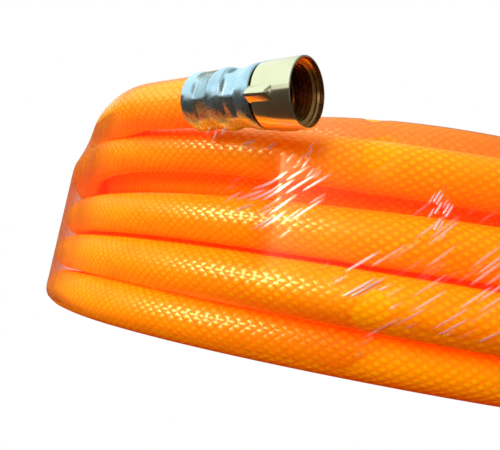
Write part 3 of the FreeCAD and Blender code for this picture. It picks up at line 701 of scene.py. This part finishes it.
def fold_layer(finish, spot, bent, slant, length, spacing, fields):
    """How much of a fold there is at each spot, for the folds of one slant."""
    laid = finish.node("ShaderNodeVectorRotate", {"Vector": spot, "Angle": math.radians(-slant)},
                       rotation_type="Z_AXIS").outputs[0]
    parts = finish.node("ShaderNodeSeparateXYZ", {0: laid})
    across_folds = finish.math("MULTIPLY_ADD", bent, 3.0, finish.math("DIVIDE", parts.outputs[1], spacing))
    lane = finish.math("FLOOR", across_folds)
    chance = finish.node("ShaderNodeTexWhiteNoise", {"W": lane}, noise_dimensions="1D").outputs["Value"]
    along_fold = finish.math("MULTIPLY_ADD", chance, 7.3, finish.math("DIVIDE", parts.outputs[0], length))
    cell = finish.node("ShaderNodeCombineXYZ", {0: lane, 1: finish.math("FLOOR", along_fold)}).outputs[0]
    pick = finish.node("ShaderNodeTexWhiteNoise", {"Vector": cell}, noise_dimensions="3D").outputs["Value"]
    shape = 1.0
    for run in (across_folds, along_fold):
        share = finish.math("FRACT", run)
        rest = finish.math("SUBTRACT", 4.0, finish.math("MULTIPLY", share, 4.0))
        shape = finish.math("MULTIPLY", finish.math("MULTIPLY", share, rest), shape)
    amount = 0.0
    for turn_at, height_at, half_turn, half_height, cover, strength in fields:
        inputs = {"Vector": spot, "Scale": (1 / half_turn, 1 / half_height, 0),
                  "Location": (-turn_at / half_turn, -height_at / half_height, 0)}
        drawn = finish.node("ShaderNodeMapping", inputs).outputs[0]
        distance = finish.node("ShaderNodeVectorMath", {0: drawn}, operation="LENGTH").outputs["Value"]
        near = finish.range(distance, 0.35, 1.15, cover, 0.0, smooth=True)
        shown = finish.range(finish.math("SUBTRACT", near, pick), 0.0, 0.3, 0.0, 1.0)
        amount = finish.math("MAXIMUM", finish.math("MULTIPLY", shown, strength), amount)
    return finish.math("MULTIPLY", amount, finish.range(shape, 0.1, 0.9, 0.0, 1.0, smooth=True))


def film_finish():
    # The shader's pale lilac base colour is the painted highlight of the folds
    finish = Finish("clear_stretch_film", Roughness=0.16, IOR=1.5, Base_Color=(0.98, 0.90, 0.94, 1))
    inputs = {0: finish.place, 1: tuple(coil_axis)}
    from_axis = finish.node("ShaderNodeVectorMath", inputs, operation="SUBTRACT").outputs[0]
    parts = finish.node("ShaderNodeSeparateXYZ", {0: from_axis})
    turn = finish.math("ARCTAN2", parts.outputs[1], parts.outputs[0])
    round_wall = finish.math("MULTIPLY_ADD", turn, WALL_RADIUS / MM, math.pi / 2 * WALL_RADIUS / MM)
    height = finish.math("DIVIDE", parts.outputs[2], MM)
    spot = finish.node("ShaderNodeCombineXYZ", {0: round_wall, 1: height, 2: 0.0}).outputs[0]
    bent = finish.noise(spot, 0.03, 0.0)
    layers = [fold_layer(finish, spot, bent, *laid, fields) for laid, fields in FOLDS.items()]
    folds_and_highlight = finish.math("MAXIMUM", *layers)
    relief = finish.math("MULTIPLY_ADD", folds_and_highlight, 1.5, finish.noise(finish.place, 90.0, 3.0))
    finish.link(finish.bump(relief, 0.4 * MM, 0.6), "Normal")
    edge_on = finish.node("ShaderNodeLayerWeight", {"Blend": 0.5}).outputs["Facing"]
    # Edge-on mask: thick film with painted shade, and milk with painted orange light
    thick_and_shaded = finish.range(edge_on, 0.6, 0.9, 0.0, 1.0, smooth=True)
    clear = finish.node("ShaderNodeBsdfTransparent", {"Color": finish.mix(thick_and_shaded, CLEAR_FILM, THICK_FILM_AND_SHADE)})
    milky = finish.node("ShaderNodeBsdfTranslucent", {"Color": MILK_AND_ORANGE_LIGHT})
    through = finish.blend(finish.math("MULTIPLY", thick_and_shaded, MILK_SHARE), clear, milky)
    gloss = finish.node("ShaderNodeBsdfGlossy", {"Roughness": 0.24, "Color": FILM_GLOSS})
    # On the folds a pale diffuse colour is mixed in: a painted highlight
    white = finish.blend(finish.range(folds_and_highlight, 0.0, 0.3, 0.0, 0.75), gloss, finish.shader)
    fresnel = finish.node("ShaderNodeFresnel", {"IOR": 1.4}).outputs[0]
    amount = finish.math("MAXIMUM", finish.math("MULTIPLY", fresnel, GLOSS_SHARE),
                         finish.math("MULTIPLY", folds_and_highlight, FOLD_HIGHLIGHT_SHARE))
    finish.show(finish.blend(amount, through, white))
    return finish


finish_object(film, film_finish(), "coil")
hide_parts("stretch_film")

# %% [markdown]
# ## Floor and light
# The camera sees white all round, as in the photograph. For the light itself the floor is dark, and the sky
# glows most above and on the left. What shines sees a dark room instead. Its bright ceiling comes down to
# the ground on the camera's side and stays high behind the coil, and its floor is bright behind the camera.

# %% Floor and surround
WHITE = (1, 1, 1, 1)
FLOOR_SIZE = 4.0
BRIGHT_FLOOR_EDGE = (-0.55, -0.50)
SKY_TOP, SKY_LOW = 1.2, 0.5
SKY_LEFT, SKY_RIGHT = 1.2, 0.6
ROOM_LEFT, ROOM_RIGHT = 1.1, 0.25
ROOM_COLOUR, CEILING_COLOUR = (0.045, 0.03, 0.015), (0.95, 1.06, 1.08)
CEILING_IN_FRONT, CEILING_BEHIND, CEILING_EDGE = -0.02, 0.3, 0.06

floor_form = bmesh.new()
bmesh.ops.create_grid(floor_form, x_segments=1, y_segments=1, size=FLOOR_SIZE)
floor = new_piece("floor", floor_form)
floor_finish = Finish("dark_floor", Roughness=0.9, Base_Color=(0.05, 0.032, 0.02, 1))
floor.data.materials.append(floor_finish.material)
floor_rays = floor_finish.node("ShaderNodeLightPath")
depth = floor_finish.node("ShaderNodeSeparateXYZ", {0: floor_finish.place}).outputs[1]
behind_camera = floor_finish.range(depth, *BRIGHT_FLOOR_EDGE, 1.0, 0.0)
mirrored = floor_finish.math("MULTIPLY", behind_camera, floor_rays.outputs["Is Glossy Ray"])
shown = floor_finish.math("MAXIMUM", mirrored, floor_rays.outputs["Is Camera Ray"])
white = floor_finish.node("ShaderNodeEmission", {"Color": WHITE, "Strength": 1.0})
floor_finish.show(floor_finish.blend(shown, floor_finish.shader, white))

world = bpy.data.worlds.new("surround")
bpy.context.scene.world = world
world.use_nodes = True
sky = Nodes(world.node_tree)
way = sky.node("ShaderNodeSeparateXYZ", {0: sky.node("ShaderNodeTexCoord").outputs["Generated"]})
sideways, back, up = way.outputs
glow = sky.math("MULTIPLY", sky.range(up, 0.0, 0.9, SKY_LOW, SKY_TOP),
                sky.range(sideways, -0.8, 0.8, SKY_LEFT, SKY_RIGHT))
skirting = sky.range(back, -0.6, 0.3, CEILING_IN_FRONT, CEILING_BEHIND)
ceiling = sky.range(sky.math("SUBTRACT", up, skirting), 0.0, CEILING_EDGE, 0.0, 1.0)
bright = sky.mix(sky.range(sideways, -0.4, 0.35, ROOM_LEFT, ROOM_RIGHT), (0, 0, 0), CEILING_COLOUR,
                 clamp_factor=False)
rays = sky.node("ShaderNodeLightPath")
room = sky.mix(ceiling, ROOM_COLOUR, bright, clamp_factor=False)
lighting = sky.mix(rays.outputs["Is Glossy Ray"], glow, room, clamp_factor=False)
seen = sky.mix(rays.outputs["Is Camera Ray"], lighting, WHITE[:3], clamp_factor=False)
sky.tree.links.new(seen, sky.tree.nodes["Background"].inputs["Color"])

# %% [markdown]
# The lamps light the hose and the film, and the metal only mirrors the room. One lamp is small and gives
# the glints alone, the other is broad and gives the light from the front.

# %% Lamps
LAMP_AIM = Vector((0, -0.17, 0.04))
lamp_lit = bpy.data.collections.new("lamp_lit")
lamp_lit.objects.link(hose)
lamp_lit.objects.link(film)


def softbox(name, azimuth, rise, distance, size, power, colour, mirrored):
    """A square lamp that faces the aim. Either it is only mirrored, or it only lights."""
    light = bpy.data.lights.new(name, "AREA")
    light.shape = "SQUARE"
    light.size, light.energy, light.color = size, power, colour
    lamp = bpy.data.objects.new(name, light)
    bpy.context.scene.collection.objects.link(lamp)
    rise = math.radians(rise)
    way = heading(azimuth) * math.cos(rise) + Vector((0, 0, math.sin(rise)))
    lamp.location = LAMP_AIM + way * distance
    lamp.rotation_euler = (-way).to_track_quat("-Z", "Y").to_euler()
    lamp.light_linking.receiver_collection = lamp_lit
    lamp.visible_glossy = mirrored
    lamp.visible_diffuse = not mirrored
    lamp.visible_transmission = not mirrored


softbox("glint", azimuth=-127, rise=17, distance=1.2, size=0.3, power=90, colour=(1.0, 0.93, 0.8),
        mirrored=True)
softbox("key", azimuth=-118, rise=16, distance=1.3, size=0.9, power=12, colour=(1.0, 0.95, 0.85),
        mirrored=False)
bpy.context.scene.view_settings.view_transform = "Standard"
